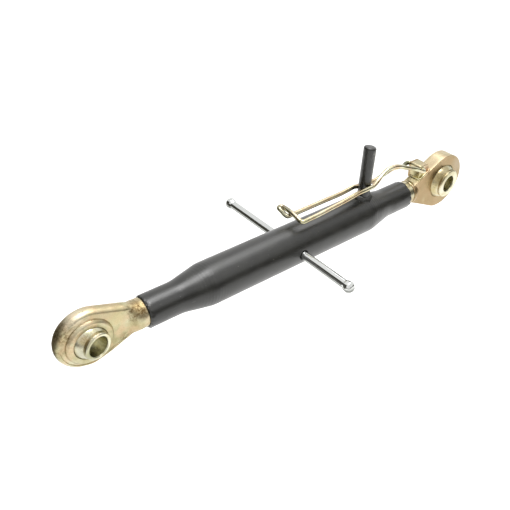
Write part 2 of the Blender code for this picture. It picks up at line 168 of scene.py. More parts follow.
# Eased step: 0 before the start, 1 after the end, and 3tt - 2ttt between them, so level at both.
def easedStep(value, start, end):
    t = np.clip((value - start) / (end - start), 0, 1)
    return t * t * (3 - 2 * t)


# A hex colour as linear values: sRGB's curve, a straight line near black and a power of 2.4 above it.
def linearColour(hexColour):
    values = [int(hexColour[i:i + 2], 16) / 255 for i in (1, 3, 5)]
    return [v / 12.92 if v <= 0.04045 else ((v + 0.055) / 1.055) ** 2.4 for v in values] + [1]


# Adds a node and returns its first output, or the one named. Inputs go by name, or as a list in the
# node's own order; a socket becomes a link and a hex colour is turned to linear.
def addNode(tree, kind, inputs=(), output=0, **settings):
    made = tree.nodes.new("ShaderNode" + kind)
    stops = settings.pop("stops", None)
    for key, value in settings.items():
        setattr(made, key, value)
    if stops:
        ramp = made.color_ramp.elements
        while len(ramp) < len(stops):
            ramp.new(0.5)
        for element, (place, colour) in zip(ramp, stops):
            element.position, element.color = place, linearColour(colour)
    for key, value in inputs.items() if isinstance(inputs, dict) else enumerate(inputs):
        if isinstance(value, bpy.types.NodeSocket):
            tree.links.new(value, made.inputs[key])
        else:
            made.inputs[key].default_value = linearColour(value) if isinstance(value, str) else value
    return made.outputs[output] if len(made.outputs) else made


# A new material with an empty node tree.
def newMaterial(name):
    material = bpy.data.materials.new(name)
    material.use_nodes = True
    material.node_tree.nodes.clear()
    return material, material.node_tree


# Share that is whole within two fifths of the radius and fades to nothing at it, round a place in mm.
def patchAt(tree, place, x, y, z, radius, amount):
    middle = (x * mm, y * mm, z * mm)
    away = addNode(tree, "VectorMath", [place, middle], output="Value", operation="DISTANCE")
    return addNode(tree, "MapRange", [away, radius * 0.4 * mm, radius * mm, amount, 0])


overlay = dict(output="Result", data_type="RGBA")  # a Mix node that lays colour B over colour A
noiseSpan = (0.3, 0.7)  # nearly all of a noise lies between these
zincSkin = dict(blushSpan=(0.44, 0.62), blotchSpan=(0.43, 0.57), speckleSpan=(0.35, 0.65), pitSpan=0.12,
                stainRough=0.62, grainDepth=0.12 * mm, pitDepth=0.35 * mm)


# Yellow passivated zinc on steel: a thin chromate film over a pale metal, so straw with pinkish and
# greenish clouds, a soft gloss, and brown bloom where the forging or the weld left the surface rough.
# The grain is drawn some four times coarser than a real plated skin's, so that it shows.
def yellowZinc(name, look, seed):
    material, tree = newMaterial(name)
    place = addNode(tree, "TexCoord", output="Object")
    cloudPlace, blushPlace, pitPlace, blotchPlace = [
        addNode(tree, "Mapping", {"Vector": place, "Location": shift})
        for shift in ((seed, 0, 0), (0, seed, 0), (0, 0, seed), (seed, seed, 0))]
    clouds = addNode(tree, "TexNoise", {
        "Vector": cloudPlace, "Scale": 1 / look["cloud"], "Detail": 3, "Roughness": 0.55})
    film = addNode(tree, "ValToRGB", {"Fac": clouds}, stops=look["film"])
    blush = addNode(tree, "TexNoise", {
        "Vector": blushPlace, "Scale": 2 / look["cloud"], "Detail": 2, "Roughness": 0.5})
    share = addNode(tree, "MapRange", [blush, *zincSkin["blushSpan"], 0, look["blush"]])
    film = addNode(tree, "Mix", {"Factor": share, "A": film, "B": look["pink"]}, **overlay)
    # tints: colour patches, among them painted highlights and painted shade
    for x, y, z, radius, amount, tone in look["tints"]:
        share = patchAt(tree, place, x, y, z, radius, amount)
        film = addNode(tree, "Mix", {"Factor": share, "A": film, "B": tone}, **overlay)
    if "face" in look:  # the flat near and far faces are toned browner than the edge
        start, end, amount, tone = look["face"]
        sideways = addNode(tree, "SeparateXYZ", [place], output="Y")
        across = addNode(tree, "Math", [sideways], operation="ABSOLUTE")
        share = addNode(tree, "MapRange", [across, start, end, 0, amount])
        film = addNode(tree, "Mix", {"Factor": share, "A": film, "B": tone}, **overlay)
    if "shadedBores" in look:  # painted shade: each bore is painted darker and greener inside than the rest
        level = addNode(tree, "VectorMath", [place, (1, 0, 1)], operation="MULTIPLY")
        for x, radius, tone in look["shadedBores"]:
            share = patchAt(tree, level, x, 0, 0, radius, 1)
            film = addNode(tree, "Mix", {"Factor": share, "A": film, "B": tone}, **overlay)
    grain = addNode(tree, "TexNoise", {
        "Vector": place, "Scale": 1 / look["grain"], "Detail": 4, "Roughness": 0.65})
    pits = addNode(tree, "TexNoise", {
        "Vector": pitPlace, "Scale": 1 / look["pitSize"], "Detail": 5, "Roughness": 0.65})
    pitSpan = look["pitFrom"], look["pitFrom"] + zincSkin["pitSpan"]
    stain = addNode(tree, "MapRange", [pits, *pitSpan, 0, look["stain"]])
    blotches = addNode(tree, "TexNoise", {
        "Vector": blotchPlace, "Scale": 1 / look["blotch"], "Detail": 6, "Roughness": 0.75})
    blotches = addNode(tree, "MapRange", [blotches, *zincSkin["blotchSpan"]])
    for x, y, z, radius, amount in look["bloom"]:
        near = patchAt(tree, place, x, y, z, radius, amount)
        blotched = addNode(tree, "Math", [near, blotches], operation="MULTIPLY")
        stain = addNode(tree, "Math", [stain, blotched], operation="MAXIMUM")
    film = addNode(tree, "Mix", {"Factor": stain, "A": film, "B": look["dark"]}, **overlay)
    share = addNode(tree, "MapRange", [grain, *zincSkin["speckleSpan"], 0, look["speckle"]])
    film = addNode(tree, "Mix", {"Factor": share, "A": film, "B": look["dark"]}, **overlay)
    clean = addNode(tree, "MapRange", [grain, *noiseSpan, *look["rough"]])
    stained = addNode(tree, "MapRange", [stain, 0, 1, 0, zincSkin["stainRough"]])
    rough = addNode(tree, "Math", [clean, stained], operation="MAXIMUM")
    fine = addNode(tree, "Bump", {
        "Height": grain, "Strength": look["bump"], "Distance": zincSkin["grainDepth"]})
    bump = addNode(tree, "Bump", {
        "Height": pits, "Strength": look["bump"], "Distance": zincSkin["pitDepth"], "Normal": fine})
    shader = addNode(tree, "BsdfPrincipled", {
        "Base Color": film, "Metallic": 1.0, "Roughness": rough, "Normal": bump})
    addNode(tree, "OutputMaterial", {"Surface": shader})
    return material


# In each look, tints are places (x, y, z, radius) in mm with a share and a tone laid over the film there,
# and bloom is places with the share of brown blotches there. Some tints are painted highlights and painted
# shade, as noted in each look.
forgedLook = dict(
    film=[(0.30, "#aba37c"), (0.44, "#c1ba94"), (0.56, "#d0cba9"), (0.70, "#d3c1a2")],
    pink="#dfbf9c", blush=0.5, dark="#6b5534", stain=0.45, pitFrom=0.60, speckle=0.2, cloud=17 * mm,
    grain=0.9 * mm, pitSize=4 * mm, blotch=2.4 * mm, rough=(0.34, 0.48), bump=0.5,
    # the first tint, pale cream over the rim's top, is a painted highlight
    tints=[(-10, 0, 28, 16, 0.6, "#f0e2c8"), (26, -8, 12, 13, 0.6, "#cbc394"),
           (47, -9, 15, 13, 0.85, "#a8966e"), (47, -4, 20, 10, 0.6, "#a8966e"),
           (20, -3, 24, 17, 0.55, "#bfab86"), (-23, -2, 16, 13, 0.5, "#b5a67a"),
           (-20, -4, -20, 14, 0.5, "#e3e0c8"), (44, -6, -4, 12, 0.4, "#c0ad82")],
    bloom=[(40, -9, 16, 9, 0.9), (48, -9, 13, 11, 1), (47, -3, 19, 8, 0.9), (41, -7.5, 6.5, 6, 0.8),
           (-21, -2, 18, 14, 0.7), (-14, -4, 26, 7, 0.35), (-27, -3, 2, 9, 0.4), (44, 6, 8, 14, 0.7),
           (40, 8, -8, 12, 0.6), (34, -5, -13, 10, 0.45)])
plateLook = dict(
    film=[(0.30, "#b3a784"), (0.44, "#c6ba95"), (0.56, "#d6cda8"), (0.70, "#d9c6a4")],
    pink="#dcbc9a", blush=0.5, dark="#6b5230", stain=0.3, pitFrom=0.62, speckle=0.12, cloud=22 * mm,
    grain=0.8 * mm, pitSize=4 * mm, blotch=2.4 * mm, rough=(0.26, 0.38), bump=0.2,
    face=(7.6 * mm, 7.75 * mm, 0.75, "#9a8058"),
    # the second tint, near white on the rim's upper right, is a painted highlight
    tints=[(412, -2, 20, 9, 0.7, "#d8d2a0"), (484, 0, 18, 20, 0.85, "#e6e6dc"),
           # the next two tints, browner on the lug's near end and on its side towards the tube, are painted
           # shade
           (423, -7, 25, 6, 0.8, "#9c7a60"), (412, -3, 25, 8, 0.6, "#8f7c58"),
           (420, 3, 33, 11, 0.6, "#a9a184"), (430, -7.8, -12, 22, 0.3, "#9c8055"),
           (440, 0, 28, 16, 0.7, "#bba98c")],
    bloom=[(424, -7, 27, 3.2, 0.9), (427, -8, 20, 3.5, 0.8), (470, 4, -24, 14, 0.3)])
ballLook = dict(
    film=[(0.30, "#c0b792"), (0.44, "#d6cfae"), (0.56, "#e4e0c8"), (0.70, "#e2d4b2")],
    pink="#d6dcb8", blush=0.35, dark="#574a2c", stain=0.25, pitFrom=0.66, speckle=0.08, cloud=10 * mm,
    grain=0.5 * mm, pitSize=2 * mm, blotch=1.2 * mm, rough=(0.24, 0.34), bump=0.1,
    tints=[(440, -12, -4, 16, 0.8, "#c2b386"), (441, -12, 12, 12, 0.8, "#a08c5e"),
           (452, -12, 17, 11, 0.5, "#a38f68"), (397, -6, 11, 12, 0.7, "#e8dcb4"),
           (398, -10, -4, 10, 0.85, "#a8946c"), (-8, -13, 10, 7, 0.6, "#b39a6a"),
           (-9, -12, -6, 14, 0.8, "#b9b6a2"), (446, -17, -3, 9, 0.8, "#e6e2d0")],
    # shadedBores: painted shade inside each bore, given by its x and radius
    shadedBores=[(0, 11.0, "#7a7f46"), (456.3, 11.0, "#7f7448")],
    bloom=[(-4, -13, 12, 8, 0.4), (-10, -13, 3, 5, 0.3), (445, -14, 13, 8, 0.6), (439, -11, 1, 5, 0.5)])
wireLook = dict(
    film=[(0.30, "#aaa584"), (0.44, "#c5c2a0"), (0.56, "#d8d8bc"), (0.70, "#c9b391")],
    pink="#c8a78a", blush=0.45, dark="#5a4a2a", stain=0.2, pitFrom=0.66, speckle=0.05, cloud=20 * mm,
    grain=0.6 * mm, pitSize=2 * mm, blotch=1.2 * mm, rough=(0.16, 0.26), bump=0.08,
    # the first two tints, dark on the far strand's end beside the lug and on the handle's return strand,
    # are painted shade
    tints=[(409, 14.5, 27, 10, 0.85, "#5c6043"), (228, 14, 32, 15, 0.6, "#8a8474"),
           (290, 9.5, 29, 55, 0.35, "#b89468")],
    bloom=[])
forgedZinc = yellowZinc("yellowZincOnForging", forgedLook, 3.1)
plateZinc = yellowZinc("yellowZincOnPlate", plateLook, 5.7)
ballZinc = yellowZinc("yellowZincTurned", ballLook, 1.3)
wireZinc = yellowZinc("yellowZincOnWire", wireLook, 8.9)


# Stoved black enamel over swaged tube: near black with a warm cast, glossy enough to show the lamps as
# broad sheens, with faint orange peel, rubbed specks and lengthwise scuffs. Rubs and sheen are places
# (x, y, z, radius) in mm with the share of bare patches that handling has left there; those on the post's
# right edge are partly a painted highlight.
def blackPaint(name, look):
    material, tree = newMaterial(name)
    place = addNode(tree, "TexCoord", output="Object")
    lengthwise, upright = [addNode(tree, "Mapping", {"Vector": place, "Scale": stretch})
                           for stretch in ((0.14, 1, 1), (1, 1, 0.4))]
    dust = addNode(tree, "TexNoise", {
        "Vector": place, "Scale": 1 / look["patch"], "Detail": 4, "Roughness": 0.6})
    tint = addNode(tree, "ValToRGB", {"Fac": dust}, stops=look["paint"])
    specks = addNode(tree, "TexNoise", {
        "Vector": place, "Scale": 1 / look["speck"], "Detail": 2, "Roughness": 0.5})
    specks = addNode(tree, "MapRange", [specks, *look["speckSpan"], 0, look["worn"]])
    scuffs = addNode(tree, "TexNoise", {
        "Vector": lengthwise, "Scale": 1 / look["scuff"], "Detail": 3, "Roughness": 0.5})
    scuffs = addNode(tree, "MapRange", [scuffs, *look["scuffSpan"], 0, look["scuffed"]])
    rubbed = addNode(tree, "Math", [specks, scuffs], operation="MAXIMUM")
    patches = addNode(tree, "TexNoise", {
        "Vector": upright, "Scale": 1 / look["speck"], "Detail": 4, "Roughness": 0.7})
    patches = addNode(tree, "MapRange", [patches, *look["rubSpan"]])
    for x, y, z, radius, amount in look["rubsAndSheen"]:
        near = patchAt(tree, place, x, y, z, radius, amount)
        patched = addNode(tree, "Math", [near, patches], operation="MULTIPLY")
        rubbed = addNode(tree, "Math", [rubbed, patched], operation="MAXIMUM")
    tint = addNode(tree, "Mix", {"Factor": rubbed, "A": tint, "B": look["bare"]}, **overlay)
    peel = addNode(tree, "TexNoise", {
        "Vector": place, "Scale": 1 / look["peel"], "Detail": 3, "Roughness": 0.55})
    bump = addNode(tree, "Bump", {"Height": peel, "Strength": look["bump"], "Distance": look["peelDepth"]})
    shader = addNode(tree, "BsdfPrincipled", {
        "Base Color": tint, "Metallic": 0.0, "Normal": bump, "IOR": look["index"],
        "Roughness": addNode(tree, "MapRange", [dust, *noiseSpan, *look["rough"]]),
        "Coat Weight": look["coat"], "Coat Roughness": look["coatRough"]})
    addNode(tree, "OutputMaterial", {"Surface": shader})
    return material


paintLook = dict(
    paint=[(0.3, "#11110e"), (0.7, "#1d1d17")], bare="#8d8b84", worn=0.5, scuffed=0.2, patch=16 * mm,
    speck=1.6 * mm, speckSpan=(0.74, 0.78), scuff=1.4 * mm, scuffSpan=(0.70, 0.75), rubSpan=(0.50, 0.62),
    peel=2.4 * mm, peelDepth=0.2 * mm, rough=(0.32, 0.44), bump=0.16, index=1.5, coat=0.5, coatRough=0.32,
    # the first two patches, on the post's right edge, are partly wear and partly a painted highlight along
    # it
    rubsAndSheen=[(330.4, -5.4, 72, 9, 0.9), (331, -4, 62, 7, 0.6), (326, 0, 81, 6, 0.45), (54, -8, 13, 5, 0.7)])
tubePaint = blackPaint("stovedBlackEnamel", paintLook)


# Bright zinc on a drawn bar: pale and mirror-like, with faint lengthwise draw marks, drawn coarser than
# the real ones so that they show. Below a height the film is painted darker, a painted shade on the
# underside.
def brightZincOn(name, look):
    material, tree = newMaterial(name)
    place = addNode(tree, "TexCoord", output="Object")
    lengthwise = addNode(tree, "Mapping", {"Vector": place, "Scale": (1, 0.04, 1)})
    draw = addNode(tree, "TexNoise", {
        "Vector": lengthwise, "Scale": 1 / look["mark"], "Detail": 3, "Roughness": 0.6})
    tint = addNode(tree, "ValToRGB", {"Fac": draw}, stops=look["film"])
    for x, y, z, radius, amount, tone in look["tints"]:
        share = patchAt(tree, place, x, y, z, radius, amount)
        tint = addNode(tree, "Mix", {"Factor": share, "A": tint, "B": tone}, **overlay)
    # painted shade: the film is darker below a height, in place of the underside's dark reflection
    low, high, amount, tone = look["under"]
    height = addNode(tree, "SeparateXYZ", [place], output="Z")
    share = addNode(tree, "MapRange", [height, low, high, amount, 0])
    tint = addNode(tree, "Mix", {"Factor": share, "A": tint, "B": tone}, **overlay)
    bump = addNode(tree, "Bump", {"Height": draw, "Strength": look["bump"], "Distance": look["markDepth"]})
    shader = addNode(tree, "BsdfPrincipled", {
        "Base Color": tint, "Metallic": 1.0, "Normal": bump,
        "Roughness": addNode(tree, "MapRange", [draw, *noiseSpan, *look["rough"]])})
    addNode(tree, "OutputMaterial", {"Surface": shader})
    return material


barLook = dict(
    film=[(0.3, "#d9dbd9"), (0.7, "#e6e7e5")], mark=0.5 * mm, markDepth=0.05 * mm, bump=0.12,
    # under: painted shade, the film darker below a height on the bar's underside
    rough=(0.06, 0.13), under=(-0.9 * mm, 1.3 * mm, 0.95, "#7c7e7a"),
    # the tints on the two heads are painted dark reflections; the broad first one greys the far half of the
    # bar
    tints=[(224, 88, 0, 130, 0.15, "#a9adaa"), (224, -92, 0, 9, 0.55, "#8b8d8a"),
           (224, 108, 0, 9, 0.4, "#8b8d8a")])
barZinc = brightZincOn("brightZincOnBar", barLook)
print("finishes ready")


# Swaged tube
tube = dict(
    centre=(223.35 * mm, 0, 0), halfLength=169.85 * mm, radius=21.2 * mm, wall=4 * mm, neck=15.5 * mm,
    neckLength=35 * mm, swage=31 * mm, ease=4 * mm, bore=12.3 * mm, boreRound=1.0 * mm, mouthRound=2.0 * mm,
    holeX=224.5 * mm, holeRadius=5.3 * mm, holeReach=30 * mm, ring=0.09 * mm, ringPitch=3.2 * mm,
    ringShift=4 * mm, ringSpan=13 * mm, dent=0.10 * mm, dentSize=15 * mm, burr=0.4 * mm, burrSize=4 * mm,
    burrSpan=5 * mm)
tubeEnd = tube["halfLength"]
neckEnd = tubeEnd - tube["neckLength"]
middleEnd = neckEnd - tube["swage"]


# Radius along the tube: straight middle, a cone over the swage with eased ends, straight neck. The eased
# ends are the straight cone averaged over the easing length.
def tubeRadius(x):
    shifts = np.linspace(-1, 1, 9) * tube["ease"]
    t = np.clip((np.abs(x)[:, None] + shifts - middleEnd) / tube["swage"], 0, 1).mean(1)
    return tube["radius"] + (tube["neck"] - tube["radius"]) * t


mouthRound, bore = tube["mouthRound"], tube["bore"]
outerX = np.linspace(mouthRound - tubeEnd, tubeEnd - mouthRound, 340)
outer = np.stack([outerX, tubeRadius(outerX)], 1)
mouth = arcPoints((tubeEnd - mouthRound, tube["neck"] - mouthRound), mouthRound, 90, 8, 6)
inside = np.array([[tubeEnd, bore + tube["boreRound"]], [tubeEnd - tube["boreRound"], bore],
                   [neckEnd, bore], [middleEnd, tube["radius"] - tube["wall"]]])
rear = np.vstack([mouth, inside])
front = rear[::-1] * [-1, 1]
tubeGrid = turnedGrid(np.vstack([front, outer[1:-1], rear]), "x", (0, 0, 0), 144)
# The outside's unevenness: fine rings and shallow dents where the swage's cone starts, burrs at the mouths.
shown = slice(len(inside) - 2, len(tubeGrid) - len(inside) + 2)
spot = tubeGrid[shown]
x, angle = spot[..., 0], np.arctan2(spot[..., 2], spot[..., 1])
nearSwage = np.exp(-((np.abs(x) - middleEnd - tube["ringShift"]) / tube["ringSpan"]) ** 2)
nearMouth = easedStep(np.abs(x), tubeEnd - tube["burrSpan"], tubeEnd)
shift = tube["ring"] * nearSwage * np.sin(2 * np.pi * x / tube["ringPitch"] + 1.5 * np.sin(2 * angle))
shift += tube["dent"] * (0.3 + nearSwage) * unevenness(spot, tube["dentSize"], 4)
shift += tube["burr"] * nearMouth * (unevenness(spot, tube["burrSize"], 9) - 0.4)
tubeGrid[shown, :, 1:] *= 1 + shift[..., None] / np.linalg.norm(spot[..., 1:], axis=-1, keepdims=True)
tubeGrid += np.array(tube["centre"])
tubePiece = gridPiece("tubeShell", tubeGrid, wrapRows=True)
cutBore(tubePiece, rodGrid(tube["holeReach"], tube["holeRadius"], "y", (tube["holeX"], 0, 0), 48))
fit(tubePiece, tubePaint, "barrel", "tube")
print("tube ready")


# Locking post, with a top sheared a little out of square
post = dict(
    x=326.0 * mm, radius=6.6 * mm, foot=20.7 * mm, top=81 * mm, topRound=3.2 * mm, shear=0.16,
    shearFrom=74 * mm, wave=0.07 * mm, waveSize=8 * mm, weldRadius=10.4 * mm, weldHeight=4.0 * mm,
    weldInto=0.2 * mm, weldSunk=0.3 * mm, weldThick=0.6 * mm, lump=0.35 * mm, lumpSize=3.0 * mm)
postProfile = roundedProfile([
    (post["foot"], post["radius"], 0), (post["top"], post["radius"], post["topRound"]),
    (post["top"], 0, 0)], 8)
postGrid = turnedGrid(refined(postProfile, 1.5 * mm), "z", (post["x"], 0, 0), 64)
nearTop = np.clip((postGrid[..., 2] - post["shearFrom"]) / (post["top"] - post["shearFrom"]), 0, 1) ** 2
postGrid[..., 2] -= nearTop * post["shear"] * (postGrid[..., 0] - post["x"] + post["radius"])
postGrid[..., :2] += (unevenness(postGrid, post["waveSize"], 8) * post["wave"])[..., None]
postPiece = gridPiece("lockingPost", postGrid, capStart=True)
fit(postPiece, tubePaint, "barrel", "locking_post")

# Weld bead: a ring whose radius is lumpy by two sines of the turn, whose foot follows the tube's round and
# whose top leans on the post as part of a circle.
turn = np.linspace(0, 2 * np.pi, 120, endpoint=False)
across = np.linspace(0, 1, 16)[:, None]
bead = post["weldRadius"] + post["lump"] * 2 * np.sin(3 * turn + 0.6) * np.cos(5 * turn)
beadOut = bead + (post["radius"] - post["weldInto"] - bead) * across
beadX, beadY = beadOut * np.cos(turn), beadOut * np.sin(turn)
saddle = np.sqrt((tube["radius"] - post["weldSunk"]) ** 2 - beadY ** 2)
beadZ = saddle + post["weldHeight"] * np.sqrt(1 - (1 - across) ** 2) ** 1.4
beadGrid = np.stack([post["x"] + beadX, beadY, beadZ + 0 * beadX], -1)
beadGrid += (unevenness(beadGrid, post["lumpSize"], 12) * post["lump"] * 0.6)[..., None] * [0.5, 0.5, 1]
under = np.stack([beadGrid[..., 0], beadGrid[..., 1], saddle - post["weldThick"]], -1)[::-1]
weldPiece = gridPiece("postWeldBead", np.concatenate([beadGrid, under]), wrapRows=True)
fit(weldPiece, tubePaint, "barrel", "post_weld")
print("post ready")


# Cross bar with an upset head at each end
bar = dict(
    centre=(224.5 * mm, 7.6 * mm, 0), radius=4.4 * mm, half=95 * mm, head=5.9 * mm, headLength=9 * mm)
start = bar["half"] - bar["headLength"]
barHalf = roundedProfile([
    (0, bar["radius"], 0), (start - 1.0 * mm, bar["radius"], 1.2 * mm),
    (start + 1.6 * mm, bar["head"] - 0.4 * mm, 1.4 * mm), (bar["half"] - 3.6 * mm, bar["head"], 3.0 * mm),
    (bar["half"], bar["head"] - 2.2 * mm, 2.4 * mm), (bar["half"], 0, 0)], 8)
barProfile = np.vstack([barHalf[::-1] * [-1, 1], barHalf[1:]])
barPiece = gridPiece("crossBar", turnedGrid(refined(barProfile, 2 * mm), "y", bar["centre"], 72))
fit(barPiece, barZinc, "cross_bar", "tommy_bar")
print("cross bar ready")


# Balls: a sphere between two turned collars, bored through and turned a little about the upright axis
balls = dict(
    front=dict(centre=(0, 0, 0), radius=17.4 * mm, collar=12.8 * mm, half=16.25 * mm, turn=11.0),
    rear=dict(centre=(456.3 * mm, 0, 0), radius=21.2 * mm, collar=16.6 * mm, half=16.9 * mm, turn=3.0),
    bore=9.5 * mm)
for side in ("front", "rear"):
    ball = balls[side]
    root = math.sqrt(ball["radius"] ** 2 - ball["collar"] ** 2)
    lean = math.degrees(math.atan2(ball["collar"], root))
    collar = roundedProfile([
        (0, balls["bore"], 0), (ball["half"] - 0.7 * mm, balls["bore"], 0.2 * mm),
        (ball["half"], balls["bore"] + 0.7 * mm, 0.2 * mm),
        (ball["half"], ball["collar"] - 1.0 * mm, 0.5 * mm),
        (ball["half"] - 1.0 * mm, ball["collar"], 0.5 * mm), (root, ball["collar"], 0)], 3)
    oneSide = np.vstack([refined(collar, 1.5 * mm), arcPoints((0, 0), ball["radius"], lean, 90, 28)[1:]])
    ballGrid = turnedGrid(np.vstack([oneSide, (oneSide * [-1, 1])[::-1][1:-1]]), "y", (0, 0, 0), 144)
    c, s = math.cos(math.radians(ball["turn"])), math.sin(math.radians(ball["turn"]))
    ballGrid = ballGrid @ np.array([[c, s, 0], [-s, c, 0], [0, 0, 1]]) + np.array(ball["centre"])
    ballPiece = gridPiece(side + "BallPiece", ballGrid, wrapRows=True, sharp=30)
    fit(ballPiece, ballZinc, side + "_ball", side + "_ball")
print("balls ready")


# Outline of an eye: a circle with straight sides that leave it as tangents to a narrower tail. Every
# offset of it has the same count of points, so offsets join into a grid.
def eyeOutline(radius, tail, tailHalf, counts, centre=(0, 0), rise=0):
    along, up = tail - centre[0], np.array([tailHalf, -tailHalf]) + rise - centre[1]
    tangent = np.arctan2(up, along) + np.array([1, -1]) * np.arccos(radius / np.hypot(along, up))
    turn = np.linspace(tangent[0], 2 * np.pi + tangent[1], counts[0])
    circle = np.stack([centre[0] + radius * np.cos(turn), centre[1] + radius * np.sin(turn)], 1)
    t = np.linspace(0, 1, counts[1] + 2)[1:-1, None]
    corner, foot = np.array([tail, rise + tailHalf]), np.array([tail, rise - tailHalf])
    end = foot + (corner - foot) * np.linspace(0, 1, counts[2] + 2)[:, None]
    return np.vstack([circle, circle[-1] + (foot - circle[-1]) * t, end, corner + (circle[0] - corner) * t])


# Points of a round edge that face the outline's points.
def facing(radius, outline):
    angle = np.arctan2(outline[:, 1], outline[:, 0])
    return np.stack([radius * np.cos(angle), radius * np.sin(angle)], 1)


skinShares = (0.3, 0.8, 0.6)  # how far the skin's unevenness moves a point along each axis


# Near half of an eye from rings of flat points, each at its height towards the viewer, with the skin made
# uneven from the given ring outwards, and its mirror image as the far half.
def bothFaces(flat, heights, roughFrom, eye):
    near = np.stack([flat[..., 0], -heights, flat[..., 1]], -1)
    skin = unevenness(near[roughFrom:], eye["roughSize"], eye["roughSeed"]) * eye["rough"]
    near[roughFrom:] += skin[..., None] * skinShares
    return np.concatenate([near, (near[::-1] * [1, -1, 1])[1:-1]])


# Front eye forging. The rim is a quarter ellipse, the flat face lies a step below it, the boss ring stands
# proud, and towards the tail the face swells into the round neck: its height becomes that of a cone.
frontEye = dict(
    radius=28.4 * mm, centre=(-1.25 * mm, 2.1 * mm), tail=47 * mm, rise=1.0 * mm, neck=13.6 * mm,
    counts=(132, 56, 32), belly=1.3 * mm, bellyStart=-10 * mm, bellyLength=48 * mm, bellyEase=12 * mm,
    seat=17.7 * mm, faceHalf=5.4 * mm, faceRings=45, rimHalf=6.2 * mm, rimRound=3.4 * mm, rimStep=0.5 * mm,
    bossRadius=22.0 * mm, bossTop=20.0 * mm, bossHalf=8.4 * mm, runout=14 * mm, coneStart=0.26,
    blend=1.8 * mm, neckFrom=12 * mm, neckTo=0.5 * mm, fillet=5 * mm, flare=0.5 * mm, shank=12 * mm,
    mouth=53.2 * mm, tip=193.5 * mm, rough=0.13 * mm, roughSize=6 * mm, roughSeed=21)


# The front eye's outline, moved inwards by the given width.
def frontOutline(inset):
    return eyeOutline(frontEye["radius"] - inset, frontEye["tail"], frontEye["neck"] - inset,
                      frontEye["counts"], frontEye["centre"], frontEye["rise"])


# Rings of (flat points, height): the seat's sphere, the boss's flat top and sloping side, the face, the
# small step up to the rim, and the rim's quarter ellipse.
rim = frontOutline(0)
bossHalf, faceHalf, bossRadius = frontEye["bossHalf"], frontEye["faceHalf"], frontEye["bossRadius"]
bossTop, tail, neck = frontEye["bossTop"], frontEye["tail"], frontEye["neck"]
seatEdge = math.sqrt(frontEye["seat"] ** 2 - bossHalf ** 2)
depths = np.linspace(0, bossHalf - 0.3 * mm, 8)
bossRings = [(math.sqrt(frontEye["seat"] ** 2 - depth ** 2), depth) for depth in depths] + [
    (seatEdge + 0.35 * mm, bossHalf), (seatEdge + 2.4 * mm, bossHalf), (bossTop - 0.25 * mm, bossHalf),
    (bossTop + 0.1 * mm, bossHalf - 0.15 * mm), (bossRadius - 0.5 * mm, faceHalf + 1.3 * mm),
    (bossRadius - 0.1 * mm, faceHalf + 0.7 * mm), (bossRadius, faceHalf + 0.02 * mm),
    (bossRadius + 0.4 * mm, faceHalf)]
rings = [(facing(radius, rim), height) for radius, height in bossRings]
last, inner = rings[-1][0], frontOutline(frontEye["rimRound"] + frontEye["rimStep"])
rings += [(last + (inner - last) * t, faceHalf) for t in np.linspace(0, 1, frontEye["faceRings"] + 1)[1:]]
edge = frontOutline(frontEye["rimRound"])
rings += [(inner + (edge - inner) * t, faceHalf + (frontEye["rimHalf"] - faceHalf) * lift)
          for t, lift in ((0.35, 0.25), (0.65, 0.8))]
rings += [(frontOutline(frontEye["rimRound"] * (1 - math.sin(turn))), frontEye["rimHalf"] * math.cos(turn))
          for turn in np.linspace(0, np.pi / 2, 14)]
flat = np.stack([points for points, height in rings])
heights = np.array([height for points, height in rings])[:, None] * np.ones(flat.shape[:2])
# The forging's lower side hangs a little below the straight line to the neck, as a sine squared of x.
outward = np.clip((np.arange(len(rings)) - len(bossRings)) / frontEye["faceRings"], 0, 1)[:, None]
hang = np.sin(np.pi * np.clip((flat[..., 0] - frontEye["bellyStart"]) / frontEye["bellyLength"], 0, 1)) ** 2
hang = hang * easedStep(-flat[..., 1], 0, frontEye["bellyEase"])
flat[..., 1] -= frontEye["belly"] * outward * hang
# The cone's height at the share a along the runout is the neck's times c + (1 - c) a^1.5 (2.5 - 1.5 a).
along = np.clip((flat[..., 0] - tail) / frontEye["runout"] + 1, 0, 1)
coneStart = frontEye["coneStart"]
cone = neck * (coneStart + (1 - coneStart) * along ** 1.5 * (2.5 - 1.5 * along))
# Its section is an ellipse between the outline's two sloping sides, which ends as the neck's circle.
behind = tail - flat[..., 0]
corners = frontEye["rise"] + neck * np.array([1, -1])
upper, lower = [z + behind * (rim[i, 1] - z) / (tail - rim[i, 0])
                for z, i in zip(corners, (0, frontEye["counts"][0] - 1))]
section = np.sqrt(np.clip(1 - ((2 * flat[..., 1] - upper - lower) / (upper - lower)) ** 2, 0, None))
coneHalf = cone * section * (along > 0)
# Where the heights of face and cone come near each other, a parabola rounds the corner between them.
gap = np.clip(1 - np.abs(heights - coneHalf) / frontEye["blend"], 0, 1)
joined = np.maximum(heights, coneHalf) + gap ** 2 * frontEye["blend"] / 4 * (along > 0)
intoNeck = easedStep(flat[..., 0], tail - frontEye["neckFrom"], tail - frontEye["neckTo"])
heights = joined + (coneHalf - joined) * intoNeck
heights[-1] = 0


# Fillet at the foot of the sloping edges: points near the tail's end move outwards by a bump of the
# distance from it.
def filleted(points):
    bump = np.clip(1 - np.abs(points[..., 0] - frontEye["tail"]) / frontEye["fillet"], 0, 1) ** 2
    points[..., 2] += frontEye["flare"] * bump * (points[..., 2] - frontEye["rise"]) / frontEye["neck"]
    return points


eyeGrid = filleted(bothFaces(flat, heights, len(bossRings), frontEye))
eyePiece = gridPiece("frontEyeForging", eyeGrid, wrapRows=True, sharp=30)
fit(eyePiece, forgedZinc, "front_end", "front_eye")

